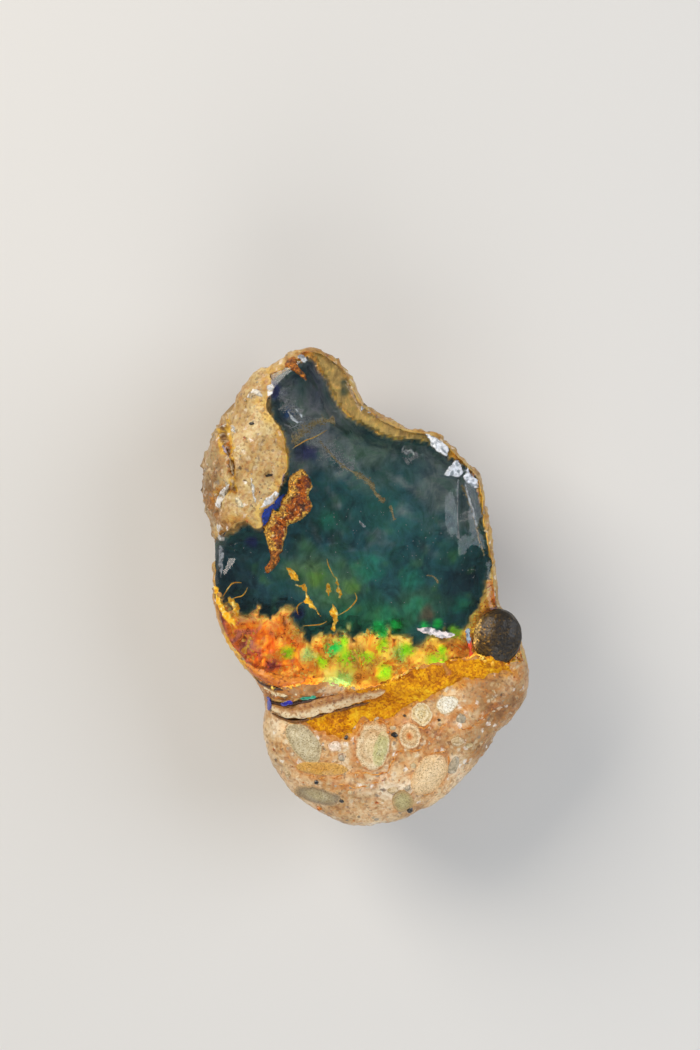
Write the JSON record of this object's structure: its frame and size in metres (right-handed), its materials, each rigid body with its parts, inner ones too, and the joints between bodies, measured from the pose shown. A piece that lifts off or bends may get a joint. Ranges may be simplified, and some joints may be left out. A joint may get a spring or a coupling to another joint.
{
  "type": "rough opal specimen",
  "caption": "Rough nodule of clear dark opal in its host rock, broken open on one side, that lies on its back as a display or cabinet specimen.",
  "frame": {"origin": "on the surface the stone rests on, under the middle of its bounding box", "axes": "+Z up, out of the opal window; +Y along the stone's long side; +X to the right when the window is seen from above with +Y up"},
  "size_m": [0.0346, 0.05, 0.0201],
  "materials": {
    "opal": "clear dark precious opal, broken and wet looking",
    "host_rock": "tan to peach volcanic tuff, ground smooth, with small clasts",
    "iron_stain": "orange and rust-brown iron oxide crust",
    "gold_flake": "yellow limonite flakes and threads in the opal",
    "colour_flash": "play-of-colour patches, mostly green",
    "clast": "pale pebbles and grains cut through in the rock",
    "dark_pebble": "olive-brown glassy pebble"
  },
  "bodies": {
    "root": {"opal_stone": "opal"}
  },
  "joints": []
}
